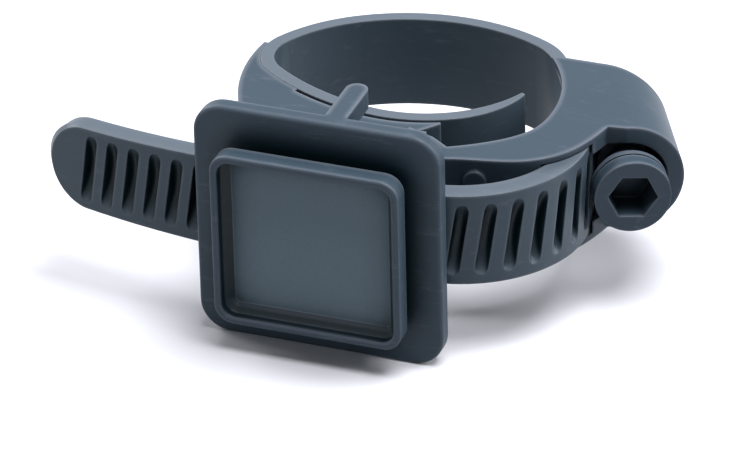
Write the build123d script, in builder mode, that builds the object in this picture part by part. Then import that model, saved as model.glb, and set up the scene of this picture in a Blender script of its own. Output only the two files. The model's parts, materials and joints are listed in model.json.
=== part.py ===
import os
from math import cos, radians, sin, sqrt

from build123d import *

# strap: one flat strip, tongue tip to tail tip, bent only in plan
strap_width = 11.4
band_thickness = 1.6
ladder_thickness = 2.6
tongue_root = (7.41652, -9.85268)
root_heading = -152.0
tongue_tip_thickness = 0.5
tip_radius = 14.6
tip_turn = 38.0
loop_arcs = [(14.6, 38.0), (30.0, 27.0), (5.0, 81.0), (18.0, 30.0), (22.0, 59.0)]
last_arc_radius = 8.0
channel_length = 12.2
bend_ease_radius = 16.4
bend_ease_turn = 30.0
tail_straight = 18.5
tail_radius = 100.0
tail_turn = 16.4
tail_tip_width = 10.6
tail_tip_bevel = 0.9
taper_length = 22.0

# ladder slots, scooped as the worm's round crest needs, spaced along the strap's inner web
slot_pitch = 2.8
slot_width = 1.5
slot_round = 0.6
slot_scoop = 7.1
slot_web = 0.9
slot_slant = 9.0
slot_count = 28
slot_end_margin = 6.1

# bag plate, with the catch plate in front of it on a narrower neck
plate_size = 29.5
plate_thickness = 2.2
plate_corner = 3.6
plate_edge = 0.45
plate_centre_x = -0.6
plate_front_y = -31.7
tail_room = 1.1
neck_size = 18.6
neck_length = 1.9
catch_thickness = 2.3
catch_corner = 2.2
catch_edge = 0.25
lip_width = 0.9
recess_width = 20.7
recess_height = 20.0
recess_depth = 2.1
recess_corner = 1.6
recess_slope = 1.0
tab_width = 2.6
tab_thickness = 2.4
tab_reach = 7.7
tab_centre_x = 1.25

# head with its hood over the strap, the arm to the block, and the saddle under the tongue
strap_gap = 0.3
roof_gap = 0.15
saddle_groove = 0.5
groove_turn = 17.0
head_angle = 27.0
head_half = 6.6
head_back_y = 5.05
worm_offset = 3.1
housing_front = 18.0
bore_gap = 0.35
bore_end = 6.8
window_half = 4.4
arm_inside = [(18.0, -0.6), (19.2, -7.5), (18.3, -12.2), (15.6, -15.5), (10.4, -18.9)]
arm_outside = [(9.0, -22.4), (13.9, -20.9), (19.4, -19.5), (23.2, -16.6), (25.9, -10.5), (26.3, -8.9)]
boss_share = 0.235
boss_height = 3.9
boss_radius = 1.4
boss_rise = 0.5
saddle_half = 5.65
flank = [(-9.0, -24.5), (-17.0, -13.9), (-18.95, -6.5), (-18.85, -0.5)]
wing_tip = (7.4, -12.5)
notch = (4.8, -15.9)
notch_shoulder = (8.2, -17.3)
block_half = 8.8
block_width = 18.0
block_depth = 9.5

# worm screw
worm_crest = 4.3
worm_core = 2.1
screw_head_radius = 4.45
screw_head_length = 2.0
collar_length = 0.7
collar_groove = 0.3
head_standoff = 1.3
shank_radius = 3.4
shank_length = 2.0
hex_across = 5.0
hex_depth = 4.4
hex_turn = -5.0
journal_radius = 1.6
journal_length = 2.0
journal_gap = 0.1

os.makedirs("parts", exist_ok=True)


def unit(angle):
    """Plan direction at an angle in degrees."""
    return Vector(cos(radians(angle)), sin(radians(angle)))


def follow(start, heading, pieces, out):
    """Draw tangent lines and right-hand arcs, set out to the left of the path, and give the end."""
    point = Vector(*start) + unit(heading + 90) * out
    first = point
    for radius, size in pieces:
        if radius == 0:
            drawn = Line(point, point + unit(heading) * size)
        else:
            drawn = JernArc(start=point, tangent=unit(heading), radius=radius + out, arc_size=-size)
            heading = heading - size
        point = drawn @ 1
    return first, point


def arrive(start, heading, pieces):
    """Where the path ends, and its heading there, without drawing it."""
    point = Vector(*start)
    for radius, size in pieces:
        if radius == 0:
            point = point + unit(heading) * size
        else:
            centre = point + unit(heading - 90) * radius
            heading = heading - size
            point = centre + unit(heading + 90) * radius
    return point, heading


def strip(start, heading, pieces, low, high):
    """Plan face between two lines that run along the path at two distances to its left."""
    with BuildSketch() as face:
        with BuildLine():
            low_first, low_last = follow(start, heading, pieces, low)
            high_first, high_last = follow(start, heading, pieces, high)
            Line(low_first, high_first)
            Line(low_last, high_last)
        make_face()
    return face.sketch


# the strap's path: tip, drawn back from the tongue's root, then loop, channel in the head, bend, tail
tip_pieces = [(tip_radius, tip_turn)]
first_heading = root_heading + tip_turn
tip_centre = Vector(*tongue_root) + unit(root_heading - 90) * tip_radius
tip_point = tip_centre + unit(first_heading + 90) * tip_radius
tongue_tip = (tip_point.X, tip_point.Y)
turned, loop_end_heading = arrive(tongue_root, root_heading, loop_arcs)
last_turn = loop_end_heading + 360 - (head_angle - 90)
loop_pieces = loop_arcs + [(last_arc_radius, last_turn)]
channel_start, channel_heading = arrive(tongue_root, root_heading, loop_pieces)
channel_from = (channel_start.X, channel_start.Y)
plate_back_y = plate_front_y + plate_thickness
tail_inner_y = plate_back_y + tail_room + ladder_thickness
ease_pieces = [(0, channel_length), (bend_ease_radius, bend_ease_turn)]
ease_end, ease_heading = arrive(channel_from, channel_heading, ease_pieces)
bend_radius = (ease_end.Y - tail_inner_y) / (1 + cos(radians(ease_heading)))
bend_turn = ease_heading + 360 + 180
ladder_pieces = ease_pieces + [(bend_radius, bend_turn), (0, tail_straight), (tail_radius, tail_turn)]
tail_end, tail_heading = arrive(channel_from, channel_heading, ladder_pieces)

# head frame: across points from the channel out through the screw, along points at the screw's face
across = unit(head_angle)
along = unit(head_angle - 90)


def head_point(n, t):
    """Plan point at n across from the strap's inner face and t along from the channel's start."""
    return channel_start + across * n + along * t


axis_n = ladder_thickness + worm_offset

with BuildPart() as strap:
    with BuildSketch():
        add(strip(tongue_root, root_heading, loop_pieces, 0, band_thickness))
        add(strip(channel_from, channel_heading, ladder_pieces, 0, ladder_thickness))
        with BuildLine():
            inner = JernArc(start=tongue_tip, tangent=unit(first_heading), radius=tip_radius, arc_size=-tip_turn)
            tip_out = Vector(*tongue_tip) + unit(first_heading + 90) * tongue_tip_thickness
            root_out = inner @ 1 + unit(root_heading + 90) * band_thickness
            middle_out = inner @ 0.5 + unit(first_heading - tip_turn / 2 + 90) * (band_thickness * 0.86)
            ThreePointArc(tip_out, middle_out, root_out)
            Line(inner @ 0, tip_out)
            Line(inner @ 1, root_out)
        make_face()
    extrude(amount=strap_width / 2, both=True)
    tail_normal = unit(tail_heading + 90)
    tail_face = Plane(
        origin=tail_end + tail_normal * ladder_thickness,
        x_dir=-unit(tail_heading),
        z_dir=tail_normal,
    )
    tip_half = tail_tip_width / 2
    with BuildSketch(tail_face):
        with Locations((0, 0)):
            Rectangle(tip_half, strap_width * 2, align=(Align.MIN, Align.CENTER))
        with Locations((tip_half, 0)):
            Circle(tip_half, mode=Mode.SUBTRACT)
        with BuildLine():
            Polyline(
                (0, strap_width), (0, tip_half), (tip_half, tip_half), (taper_length, strap_width / 2),
                (taper_length, strap_width), close=True,
            )
        make_face()
        mirror(about=Plane.XZ)
    extrude(amount=-tail_radius * 0.1, both=True, mode=Mode.SUBTRACT)
    bevel_from = tip_half + tail_tip_bevel
    with BuildSketch(tail_face):
        Rectangle(bevel_from, strap_width * 2, align=(Align.MIN, Align.CENTER))
        with Locations((bevel_from, 0)):
            Circle(tip_half * 1.01, mode=Mode.SUBTRACT)
    extrude(amount=ladder_thickness, both=True, dir=unit(tail_heading) - tail_normal, mode=Mode.SUBTRACT)
    slot_places = []
    for slot in range(slot_count):
        left = slot_end_margin + slot * slot_pitch
        lengths = []
        for radius, size in reversed(ladder_pieces):
            neutral = size if radius == 0 else radians(size) * (radius + slot_web / 2)
            taken = min(left, neutral)
            left = left - taken
            share = 1 - taken / neutral
            lengths.insert(0, (radius, size * share))
        place, heading = arrive(channel_from, channel_heading, lengths)
        normal = unit(heading + 90)
        lean = unit(heading) * cos(radians(slot_slant)) + Vector(0, 0, sin(radians(slot_slant)))
        slot_places.append(Plane(origin=place + normal * (slot_web + slot_scoop), x_dir=normal, z_dir=lean))
    with BuildPart(mode=Mode.PRIVATE) as scoop:
        Cylinder(slot_scoop, slot_width)
        fillet(scoop.edges(), slot_round)
    with Locations(*slot_places):
        add(scoop.part, mode=Mode.SUBTRACT)
strap.part.label = "strap"
export_step(strap.part, "parts/strap.step")

with BuildPart() as mount_body:
    # bag plate, with its outer edges rounded
    with BuildSketch(Plane.XZ.offset(-plate_back_y)):
        with Locations((plate_centre_x, 0)):
            RectangleRounded(plate_size, plate_size, plate_corner)
    extrude(amount=plate_thickness)
    fillet(mount_body.faces().filter_by(Axis.Y).edges(), plate_edge)
    # neck, and the catch plate with a dished front
    with BuildSketch(Plane.XZ.offset(-plate_front_y)):
        with Locations((plate_centre_x, 0)):
            RectangleRounded(neck_size, neck_size, catch_corner)
    extrude(amount=neck_length)
    catch_front_y = plate_front_y - neck_length - catch_thickness
    with BuildSketch(Plane.XZ.offset(-plate_front_y + neck_length)):
        with Locations((plate_centre_x, 0)):
            RectangleRounded(recess_width + 2 * lip_width, recess_height + 2 * lip_width, catch_corner)
    extrude(amount=catch_thickness)
    with BuildSketch(Plane.XZ.offset(-catch_front_y)):
        with Locations((plate_centre_x, 0)):
            RectangleRounded(recess_width, recess_height, recess_corner)
    extrude(amount=-recess_depth, mode=Mode.SUBTRACT)
    recess_floor = mount_body.faces().filter_by(Axis.Y).sort_by_distance(
        (plate_centre_x, catch_front_y + recess_depth, 0)
    )[0]
    chamfer(recess_floor.edges(), recess_slope)
    lip = mount_body.faces().filter_by(Axis.Y).sort_by(Axis.Y)[0]
    fillet(lip.edges(), catch_edge)
    # block behind the plate, then the saddle with its left flank
    with BuildSketch():
        with Locations((plate_centre_x, plate_back_y)):
            Rectangle(block_width, block_depth, align=(Align.CENTER, Align.MIN))
    extrude(amount=block_half, both=True)
    with BuildSketch():
        with BuildLine():
            Spline(*flank)
            Polyline(
                flank[-1], (0, tongue_tip[1]), wing_tip, notch, notch_shoulder, (notch_shoulder[0], flank[0][1]),
                flank[0],
            )
        make_face()
    extrude(amount=saddle_half, both=True)
    # head and arm: the plan outline kept inside a section that is flat on top and round over the worm
    with BuildPart(mode=Mode.PRIVATE) as head:
        with BuildSketch():
            with BuildLine():
                inside = Spline(head_point(-strap_gap, 0), *arm_inside)
                outside = Spline(*arm_outside)
                Polyline(
                    outside @ 1, head_point(axis_n, housing_front), head_point(axis_n * 3, housing_front),
                    (head_point(axis_n * 3, 0).X, head_back_y), (channel_start.X, head_back_y), inside @ 0,
                )
                Polyline(inside @ 1, notch_shoulder, notch, (notch[0], arm_outside[0][1]), outside @ 0)
            make_face()
        extrude(amount=head_half * 2, both=True)
        with BuildSketch(Plane(origin=head_point(axis_n, 0), x_dir=across, z_dir=along)):
            with BuildLine():
                flat = Polyline(
                    (0, head_half), (-plate_size * 2, head_half), (-plate_size * 2, -head_half), (0, -head_half)
                )
                ThreePointArc(flat @ 0, (head_half, 0), flat @ 1)
            make_face()
        extrude(amount=plate_size * 2, both=True, mode=Mode.INTERSECT)
    add(head.part)
    # round boss on the arm's outer side
    boss_foot = outside @ boss_share
    boss_run = outside % boss_share
    boss_plane = Plane(
        origin=(boss_foot.X, boss_foot.Y, boss_height), x_dir=boss_run, z_dir=(boss_run.Y, -boss_run.X, 0)
    )
    with BuildSketch(boss_plane):
        Circle(boss_radius)
    extrude(amount=boss_rise, both=True)
    # room for the loop, and a groove between the tongue and the saddle
    with BuildSketch():
        with BuildLine():
            near_tip, loop_last = follow(tongue_tip, first_heading, tip_pieces + loop_pieces, band_thickness)
            Polyline(loop_last, head_point(-strap_gap, 0), near_tip)
        make_face()
        groove_pieces = tip_pieces + [loop_arcs[0], (loop_arcs[1][0], groove_turn)]
        add(strip(tongue_tip, first_heading, groove_pieces, 0, band_thickness + saddle_groove))
    extrude(amount=plate_size, both=True, mode=Mode.SUBTRACT)
    # the strap's channel through the head and behind the plate
    with BuildSketch():
        add(strip(channel_from, channel_heading, ladder_pieces, -strap_gap, ladder_thickness + strap_gap))
    extrude(amount=strap_width / 2 + roof_gap, both=True, mode=Mode.SUBTRACT)
    # bore for the worm and its blind journal
    head_plan = Plane(origin=head_point(axis_n, 0), x_dir=across, z_dir=(0, 0, 1))
    with BuildSketch(head_plan):
        with BuildLine():
            bore_radius = worm_crest + bore_gap
            journal_end = bore_end - journal_length - journal_gap
            hole = journal_radius + journal_gap
            Polyline(
                (0, -housing_front - bore_radius), (bore_radius, -housing_front - bore_radius),
                (bore_radius, -bore_end), (hole, -bore_end), (hole, -journal_end), (0, -journal_end), close=True,
            )
        make_face()
    revolve(axis=Axis(head_point(axis_n, 0), along), mode=Mode.SUBTRACT)
    # window between the strap's channel and the bore, where the worm reaches the slots
    with BuildSketch(head_plan):
        window_reach = sqrt(bore_radius**2 - window_half**2)
        with Locations((-window_reach, -bore_end)):
            Rectangle(axis_n - window_reach, housing_front, align=(Align.MAX, Align.MAX))
    extrude(amount=window_half, both=True, mode=Mode.SUBTRACT)
    # finger on the plate's top edge
    with BuildSketch(Plane.XY.offset(plate_size / 2 - tab_thickness)):
        with Locations((tab_centre_x, plate_front_y + plate_thickness / 2)):
            Rectangle(
                tab_width, plate_thickness / 2 + tab_reach - tab_width / 2, align=(Align.CENTER, Align.MIN)
            )
        with Locations((tab_centre_x, plate_back_y + tab_reach - tab_width / 2)):
            Circle(tab_width / 2)
    extrude(amount=tab_thickness)
mount_body.part.label = "mount_body"
export_step(mount_body.part, "parts/mount_body.step")

with BuildPart() as worm_screw:
    head_from = housing_front + head_standoff
    collar_end = head_from + collar_length
    rim_from = collar_end + collar_groove
    face_at = rim_from + screw_head_length
    shank_from = head_from - shank_length
    groove_radius = screw_head_radius - collar_groove
    with BuildSketch(head_plan):
        with BuildLine():
            core_end = bore_end + journal_gap
            tip_end = core_end - journal_length
            Polyline(
                (0, -face_at), (screw_head_radius, -face_at), (screw_head_radius, -rim_from),
                (groove_radius, -rim_from), (groove_radius, -collar_end), (screw_head_radius, -collar_end),
                (screw_head_radius, -head_from), (shank_radius, -head_from), (shank_radius, -shank_from),
                (worm_core, -shank_from), (worm_core, -core_end), (journal_radius, -core_end),
                (journal_radius, -tip_end), (0, -tip_end), close=True,
            )
        make_face()
    revolve(axis=Axis(head_point(axis_n, 0), along))
    face_plane = Plane(origin=head_point(axis_n, face_at), x_dir=across, z_dir=along)
    with BuildSketch(face_plane):
        RegularPolygon(hex_across / sqrt(3), 6, rotation=hex_turn)
    extrude(amount=-hex_depth, mode=Mode.SUBTRACT)
worm_screw.part.label = "worm_screw"
export_step(worm_screw.part, "parts/worm_screw.step")
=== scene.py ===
import json
import math

import bpy
import numpy as np
from mathutils import Matrix, Vector


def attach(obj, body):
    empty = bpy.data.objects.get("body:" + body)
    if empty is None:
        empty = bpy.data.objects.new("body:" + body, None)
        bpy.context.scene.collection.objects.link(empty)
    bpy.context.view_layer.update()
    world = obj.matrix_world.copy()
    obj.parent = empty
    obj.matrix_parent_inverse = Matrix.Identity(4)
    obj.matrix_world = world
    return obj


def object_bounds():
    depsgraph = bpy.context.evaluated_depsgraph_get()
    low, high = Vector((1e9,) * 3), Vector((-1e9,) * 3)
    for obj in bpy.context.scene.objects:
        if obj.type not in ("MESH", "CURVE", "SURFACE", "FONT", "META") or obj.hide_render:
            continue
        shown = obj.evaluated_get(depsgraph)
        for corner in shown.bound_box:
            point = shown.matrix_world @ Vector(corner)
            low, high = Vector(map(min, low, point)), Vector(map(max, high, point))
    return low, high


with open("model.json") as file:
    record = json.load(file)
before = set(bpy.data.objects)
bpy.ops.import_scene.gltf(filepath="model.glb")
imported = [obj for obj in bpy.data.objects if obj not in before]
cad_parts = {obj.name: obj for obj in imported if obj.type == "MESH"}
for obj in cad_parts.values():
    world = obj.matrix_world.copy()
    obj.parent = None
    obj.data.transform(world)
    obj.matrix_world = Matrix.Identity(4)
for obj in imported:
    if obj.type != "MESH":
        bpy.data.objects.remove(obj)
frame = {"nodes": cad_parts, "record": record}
cad_low, cad_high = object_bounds()
MM = 0.001


# Mount body: one moulding in dark slate nylon, with the bag plate, saddle, arm and worm head.
# The mould leaves a satin skin with a very fine grain, and every edge has a small radius.
# The catch plate's floor is sparked in the mould, so it is duller, and paler: partly its own finish, partly
# painted light.
# The smooth walls round it are painted near-black: painted shade.
class Wire:
    """A shader socket that takes part in Python arithmetic; each operation adds one Math node."""

    def __init__(self, tree, socket=None):
        self.tree = tree
        self.socket = socket

    def node(self, kind, settings=None, output=0, **values):
        """A node of that type: its settings first, then its sockets' values or links; gives one output.

        A socket goes by its name, with _ for a space, or by its number after the letter i.
        """
        made = self.tree.nodes.new(kind)
        for name, value in (settings or {}).items():
            setattr(made, name, value)
        for name, value in values.items():
            key = int(name[1:]) if name[1:].isdigit() else name.replace("_", " ")
            if isinstance(value, Wire):
                self.tree.links.new(value.socket, made.inputs[key])
            else:
                made.inputs[key].default_value = value
        return Wire(self.tree, made.outputs[output])

    def math(self, operation, *values, clamp=False):
        """A Math node on two or three values, held between nought and one if clamp says so."""
        sockets = {"i%d" % place: value for place, value in enumerate(values)}
        return self.node("ShaderNodeMath", {"operation": operation, "use_clamp": clamp}, **sockets)

    def dot(self, first, second):
        """The dot product of two vectors."""
        return self.node("ShaderNodeVectorMath", {"operation": "DOT_PRODUCT"}, "Value", i0=first, i1=second)

    def mix(self, share, first, second):
        """The colour that lies that share of the way from first to second."""
        return self.node("ShaderNodeMix", {"data_type": "RGBA"}, 2, i0=share, i6=first, i7=second)

    def step(self, value, low, high, top):
        """Nought below low and top above high, with a smooth step between them."""
        return self.node("ShaderNodeMapRange", {"interpolation_type": "SMOOTHSTEP"}, Value=value,
                         From_Min=low, From_Max=high, To_Min=0.0, To_Max=top)

    def __add__(self, other):
        return self.math("ADD", self, other)

    def __radd__(self, other):
        return self.math("ADD", other, self)

    def __rsub__(self, other):
        return self.math("SUBTRACT", other, self)

    def __mul__(self, other):
        return self.math("MULTIPLY", self, other)

    def __rmul__(self, other):
        return self.math("MULTIPLY", other, self)


SCUFF_STRETCH = (0.3, 1.0, 1.5)
SCUFF_FROM, SCUFF_TO, SCUFF_SHARE = 0.54, 0.74, 0.2
# Edge and thin-rim paleness below: partly wear, partly painted highlight.
RUB_HIGHLIGHT_WIDTH, RUB_HIGHLIGHT_GAIN = 2.2, 6.0
SIDE_RUB_HIGHLIGHT = 0.45
THIN_HIGHLIGHT_GAIN = 1.7
SHADE_FROM, SHADE_TO = 0.45, 0.97
ROUGH_DROP, ROUGH_DRIFT, ROUGH_SPECK, ROUGH_SCUFF = 0.06, 0.08, 0.06, 0.2
RAY_SAMPLES = 8
GRAIN_HEIGHT = 0.04 * MM
SATIN_SPECULAR = 0.22
# Near-black tone of the painted shade in corners and slots.
PAINTED_SHADE_TONE = (0.002, 0.011, 0.015, 1.0)


def satin_nylon(name, dark, pale, rim_wear_highlight, roughness, grain, edge, wall, hollow, patches=()):
    """Moulded nylon: two close tones drift over the surface, and the grain is fine.

    Edges are rounded by the radius edge and made paler, partly wear and partly a painted highlight,
    strongest where they face up. Rims on top thinner than wall get a painted highlight too.
    Faint scuffs are drawn out along x.
    Each patch is a box (middle, half size) in which the skin has another tone and is duller;
    such a tone can be painted light or painted shade.
    Corners and slots that the open air hardly reaches, within the distance hollow, get painted shade.
    """
    material = bpy.data.materials.new(name)
    material.use_nodes = True
    tree = material.node_tree
    shader = tree.nodes["Principled BSDF"]
    start = Wire(tree)
    place = start.node("ShaderNodeTexCoord", output="Object")
    drift = start.node("ShaderNodeTexNoise", Vector=place, Scale=90.0, Detail=3.0, Roughness=0.55)
    speck = start.node("ShaderNodeTexNoise", Vector=place, Scale=2600.0, Detail=2.0, Roughness=0.6)
    drawn = start.node("ShaderNodeMapping", Vector=place, Scale=SCUFF_STRETCH)
    scuff = start.node("ShaderNodeTexNoise", Vector=drawn, Scale=620.0, Detail=4.0, Roughness=0.7)
    marks = start.step(scuff, SCUFF_FROM, SCUFF_TO, SCUFF_SHARE)

    soft = start.node("ShaderNodeBevel", {"samples": RAY_SAMPLES}, Radius=edge)
    wide = start.node("ShaderNodeBevel", {"samples": RAY_SAMPLES}, Radius=RUB_HIGHLIGHT_WIDTH * edge)
    flat = start.node("ShaderNodeNewGeometry", output="Normal")
    # Painted highlight, partly wear: edges go pale, most where they face up, and so do thin rims on top.
    rubbed_and_highlit = start.math("MULTIPLY", 1.0 - start.dot(wide, flat), RUB_HIGHLIGHT_GAIN, clamp=True)
    upper_highlight = start.math("MULTIPLY", start.dot(wide, (0, 0, 1)), 1.0, clamp=True)
    inward = {"inside": True, "only_local": True, "samples": RAY_SAMPLES}
    depth = start.node("ShaderNodeAmbientOcclusion", inward, "AO", Distance=wall)
    thin = depth * (1.0 - depth) * upper_highlight
    worn_and_highlit = rubbed_and_highlit * (0.5 + 0.5 * drift) * (SIDE_RUB_HIGHLIGHT + (1.0 - SIDE_RUB_HIGHLIGHT) * upper_highlight)
    worn_and_highlit = start.math("MAXIMUM", worn_and_highlit, THIN_HIGHLIGHT_GAIN * thin)

    tone = start.mix(drift, dark, pale)
    tone = start.mix(marks, tone, rim_wear_highlight)
    rough = roughness - ROUGH_DROP + ROUGH_DRIFT * drift + ROUGH_SPECK * speck + ROUGH_SCUFF * marks
    for middle, half, patch, duller in patches:
        split = start.node("ShaderNodeSeparateXYZ", Vector=place)
        ways = [Wire(tree, output) for output in split.socket.node.outputs]
        inside = [start.math("COMPARE", way, mid, reach) for way, mid, reach in zip(ways, middle, half)]
        share = inside[0] * inside[1] * inside[2] * (0.75 + 0.5 * speck)
        tone = start.mix(share, tone, patch)
        rough = rough + duller * share
    # Pale edge tone laid on: partly wear, partly painted highlight.
    tone = start.mix(worn_and_highlit, tone, rim_wear_highlight)
    # Painted shade: corners and slots darken towards a near-black tone.
    outward = {"only_local": True, "samples": RAY_SAMPLES}
    open_air = start.node("ShaderNodeAmbientOcclusion", outward, "AO", Distance=hollow)
    tone = start.mix(start.step(open_air, SHADE_FROM, SHADE_TO, 1.0), PAINTED_SHADE_TONE, tone)
    bump = start.node("ShaderNodeBump", Strength=grain, Distance=GRAIN_HEIGHT, Height=speck, Normal=soft)
    tree.links.new(tone.socket, shader.inputs["Base Color"])
    tree.links.new(rough.socket, shader.inputs["Roughness"])
    tree.links.new(bump.socket, shader.inputs["Normal"])
    shader.inputs["Specular IOR Level"].default_value = SATIN_SPECULAR
    return material


def dress(node, material):
    """Gives a CAD node its finish."""
    materials = frame["nodes"][node].data.materials
    materials.clear()
    materials.append(material)


SLATE = (0.030, 0.051, 0.070, 1.0)
SLATE_PALE = (0.040, 0.063, 0.085, 1.0)
# Pale edge tone: partly wear, partly painted highlight; the scuffs use it too.
SLATE_RIM_WEAR_HIGHLIGHT = (0.165, 0.19, 0.225, 1.0)
# Paler catch floor tone: partly the sparked finish, partly painted light.
FROST_AND_PAINTED_LIGHT = (0.132, 0.184, 0.217, 1.0)
# Near-black tone for the catch plate's recess walls: painted shade.
PAINTED_WALL_SHADE = (0.004, 0.010, 0.013, 1.0)
CATCH_FLOOR = ((-0.6 * MM, -33.8 * MM, 0.0), (9.4 * MM, 0.05 * MM, 9.05 * MM), FROST_AND_PAINTED_LIGHT, 0.15)
CATCH_WALL_SHADE = ((-0.6 * MM, -34.81 * MM, 0.0), (10.6 * MM, 0.94 * MM, 10.25 * MM), PAINTED_WALL_SHADE, 0.0)
body_finish = satin_nylon("body_satin_nylon", SLATE, SLATE_PALE, SLATE_RIM_WEAR_HIGHLIGHT, roughness=0.42, grain=0.45,
                          edge=0.35 * MM, wall=0.72 * MM, hollow=4.5 * MM, patches=(CATCH_FLOOR, CATCH_WALL_SHADE))
dress("mount_body", body_finish)

# Strap: a flat nylon strip with a ladder of slanted slots, bent round the bar and out behind the plate.
# It is moulded straight, so its faces keep a slightly shinier skin than the body's.
STRAP_SLATE = (0.042, 0.066, 0.086, 1.0)
STRAP_PALE = (0.054, 0.080, 0.102, 1.0)
# Pale edge tone: partly wear, partly painted highlight; the scuffs use it too.
STRAP_RIM_WEAR_HIGHLIGHT = (0.16, 0.185, 0.215, 1.0)
strap_finish = satin_nylon("strap_satin_nylon", STRAP_SLATE, STRAP_PALE, STRAP_RIM_WEAR_HIGHLIGHT, roughness=0.38, grain=0.35,
                           edge=0.3 * MM, wall=2.0 * MM, hollow=2.0 * MM)
dress("strap", strap_finish)

# Worm screw: a moulded nylon screw with a hex socket, in the same slate as the body but smoother.
# It sits in the head's bore, and a key turns it to draw the strap through the head.
screw_finish = satin_nylon("screw_satin_nylon", SLATE, SLATE_PALE, SLATE_RIM_WEAR_HIGHLIGHT, roughness=0.36, grain=0.2,
                           edge=0.2 * MM, wall=0.7 * MM, hollow=2.0 * MM)
dress("worm_screw", screw_finish)

# Worm thread: a nylon ridge moulded round the screw's core, one turn to each slot of the strap.
# Its crest stays just clear of the strap's face, because the strap here is rigid and can't creep along.
THREAD_PITCH = 2.8 * MM
THREAD_CORE = 2.1 * MM
THREAD_CREST = 3.0 * MM
THREAD_SINK = 0.1 * MM
THREAD_FLANKS = np.array([-0.7, -0.35, 0.35, 0.7]) * MM
THREAD_START, THREAD_END = 7.7 * MM, 16.9 * MM
SLOT_AT = 8.445 * MM
STEPS_PER_TURN = 48
RUN_IN_TURN, LEAST_RISE = 0.25, 0.02
UP = np.array((0.0, 0.0, 1.0))
screw_joint = next(joint for joint in frame["record"]["behaviour"]["joints"] if joint["name"] == "screw_turn")
thread_foot = np.array(screw_joint["pos_m"])
thread_axis = np.array(screw_joint["axis"])
thread_side = np.cross(UP, thread_axis)


def helical_ridge():
    """A trapezium carried round a helix: radius, along-axis offset and turn angle give each point.

    The angle runs with the place along the axis, one turn a pitch, and is half a turn at the slot.
    The ridge rises from the core over its first quarter turn and sinks over its last.
    """
    count = int((THREAD_END - THREAD_START) / THREAD_PITCH * STEPS_PER_TURN) + 1
    along = np.linspace(THREAD_START, THREAD_END, count)
    angle = math.pi + 2 * math.pi * (along - SLOT_AT) / THREAD_PITCH
    ends = np.minimum(along - along[0], along[-1] - along) / (RUN_IN_TURN * THREAD_PITCH)
    rise = np.clip(ends, LEAST_RISE, 1.0)[:, None]
    crest = THREAD_CREST - THREAD_CORE
    height = np.array([-THREAD_SINK, crest, crest, -THREAD_SINK])
    radius = THREAD_CORE + np.where(height > 0, height * rise, height)
    spoke = np.cos(angle)[:, None] * thread_side + np.sin(angle)[:, None] * UP
    reach = radius[..., None] * spoke[:, None]
    points = thread_foot + reach + (along[:, None] + THREAD_FLANKS)[..., None] * thread_axis
    sides = len(height)
    first = np.arange(count - 1)[:, None] * sides
    ring = first + np.arange(sides)
    nearby = first + (np.arange(sides) + 1) % sides
    quads = np.stack([ring, ring + sides, nearby + sides, nearby], axis=-1).reshape(-1, 4)
    cap = np.arange(sides)
    caps = np.array([cap, sides * count - 1 - cap])
    return points.reshape(-1, 3), np.vstack([quads, caps])


thread_points, thread_faces = helical_ridge()
thread_mesh = bpy.data.meshes.new("worm_thread")
thread_mesh.from_pydata(thread_points.tolist(), [], thread_faces.tolist())
thread_mesh.materials.append(screw_finish)
worm_thread = bpy.data.objects.new("worm_thread", thread_mesh)
bpy.context.collection.objects.link(worm_thread)
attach(worm_thread, "screw")

# Table top: a pale seamless sheet of matt paper under the part, which catches its soft shadow.
# Away from the part it fades to plain white, as a sheet that is swept up behind does.
FLOOR_REACH = 3.0
FLOOR_GAP = 0.02 * MM
SHEET_DIM = (0.30, 0.31, 0.33, 1.0)
SHEET_PALE = (0.80, 0.825, 0.86, 1.0)
SHEET_WHITE = (0.98, 0.985, 1.0, 1.0)
FADE_FROM, FADE_TO = 0.10, 0.45
floor_mesh = bpy.data.meshes.new("table_top")
floor_corners = np.array([[-1, -1], [1, -1], [1, 1], [-1, 1]]) * FLOOR_REACH
floor_points = np.column_stack([floor_corners, np.full(4, cad_low[2] - FLOOR_GAP)])
floor_mesh.from_pydata(floor_points.tolist(), [], [[0, 1, 2, 3]])
floor = bpy.data.objects.new("table_top", floor_mesh)
bpy.context.collection.objects.link(floor)


def background_seen(tree):
    """One for a ray that shows the background: the camera's own, a mirrored or a transmitted one."""
    rays = tree.nodes.new("ShaderNodeLightPath")
    camera_ray, glossy, through = (Wire(tree, rays.outputs["Is %s Ray" % kind])
                                   for kind in ("Camera", "Glossy", "Transmission"))
    return camera_ray + glossy + through


paper = bpy.data.materials.new("table_paper")
paper.use_nodes = True
paper_tree = paper.node_tree
sheet = Wire(paper_tree)
seen = background_seen(paper_tree)
distance = sheet.node("ShaderNodeVectorMath", {"operation": "LENGTH"}, "Value",
                      i0=sheet.node("ShaderNodeTexCoord", output="Object"))
far = sheet.step(distance, FADE_FROM, FADE_TO, 1.0)
diffuse = sheet.node("ShaderNodeBsdfDiffuse", Color=sheet.mix(seen, SHEET_DIM, SHEET_PALE))
glow = sheet.node("ShaderNodeEmission", Color=SHEET_WHITE, Strength=1.0)
faded = sheet.node("ShaderNodeMixShader", i0=far * seen, i1=diffuse, i2=glow)
paper_tree.links.new(faded.socket, paper_tree.nodes["Material Output"].inputs["Surface"])
floor_mesh.materials.append(paper)

# Light: square soft boxes overhead and at both sides, and a low one in front for the table's bounce.
# A pale room stands round them, and lights the part only faintly.
ROOM_COLOUR = (0.90, 0.95, 1.0, 1.0)
ROOM_LIGHT = 0.12
LAMP_COLOUR = (1.0, 0.97, 1.0)
world = bpy.data.worlds.new("pale_room")
bpy.context.scene.world = world
world.use_nodes = True
room = world.node_tree.nodes["Background"]
room.inputs["Color"].default_value = ROOM_COLOUR
strength = ROOM_LIGHT + (1.0 - ROOM_LIGHT) * background_seen(world.node_tree)
world.node_tree.links.new(strength.socket, room.inputs["Strength"])


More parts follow.
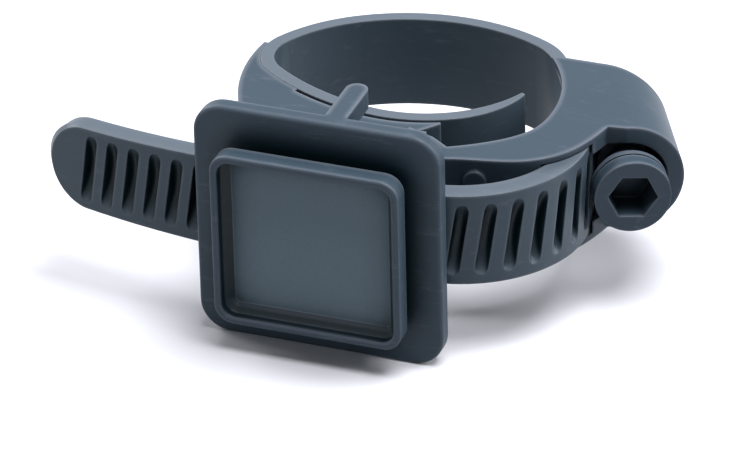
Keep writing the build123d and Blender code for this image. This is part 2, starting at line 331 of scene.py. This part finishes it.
def soft_box(name, spot, aim, width, watts):
    """A square area lamp at spot that faces aim."""
    lamp = bpy.data.lights.new(name, "AREA")
    lamp.size = width
    lamp.energy = watts
    lamp.color = LAMP_COLOUR
    holder = bpy.data.objects.new(name, lamp)
    holder.location = spot
    holder.rotation_euler = (Vector(aim) - Vector(spot)).to_track_quat("-Z", "Y").to_euler()
    bpy.context.collection.objects.link(holder)


soft_box("overhead_box", spot=(0.15, -0.02, 0.58), aim=(0, -0.01, 0), width=0.36, watts=5.0)
soft_box("right_box", spot=(0.5, 0.25, 0.3), aim=(0, -0.01, 0), width=0.35, watts=2.8)
soft_box("left_box", spot=(-0.5, 0.2, 0.35), aim=(0, -0.01, 0), width=0.35, watts=2.6)
soft_box("low_box", spot=(-0.45, -0.45, 0.05), aim=(0, -0.02, 0), width=0.4, watts=0.8)

# Camera: a long lens above and to the right of the bag plate's face, as the photograph was taken.
# Its place comes from where the origin falls in the photograph and how many pixels a millimetre takes there.
AZIMUTH, ELEVATION, ROLL = 20.4, 29.3, 1.2
DISTANCE = 0.7
PIXELS_PER_MM = 8.55
FRAME_WIDTH, FRAME_HEIGHT = 750, 454
ORIGIN_PIXEL = (418.0, 105.9)
SENSOR_WIDTH = 36.0
turn, lift, tip = (math.radians(angle) for angle in (AZIMUTH, ELEVATION, ROLL))
level_right = Vector((math.cos(turn), math.sin(turn), 0))
away = Vector((math.sin(turn) * math.cos(lift), -math.cos(turn) * math.cos(lift), math.sin(lift)))
level_up = away.cross(level_right)
right = level_right * math.cos(tip) - level_up * math.sin(tip)
up = level_up * math.cos(tip) + level_right * math.sin(tip)
aim = right * ((FRAME_WIDTH / 2 - ORIGIN_PIXEL[0]) / PIXELS_PER_MM * MM)
aim = aim - up * ((FRAME_HEIGHT / 2 - ORIGIN_PIXEL[1]) / PIXELS_PER_MM * MM)
spot = away * DISTANCE
back = (spot - aim).normalized()
side = (right - back * right.dot(back)).normalized()
top = back.cross(side)
camera_data = bpy.data.cameras.new("photo_camera")
camera_data.sensor_width = SENSOR_WIDTH
camera_data.lens = PIXELS_PER_MM / MM * DISTANCE * SENSOR_WIDTH / FRAME_WIDTH
camera_data.clip_start = 0.01
camera = bpy.data.objects.new("photo_camera", camera_data)
camera.matrix_world = Matrix.Translation(spot) @ Matrix((side, top, back)).transposed().to_4x4()
bpy.context.collection.objects.link(camera)
bpy.context.scene.camera = camera
bpy.context.scene.view_settings.view_transform = "Standard"
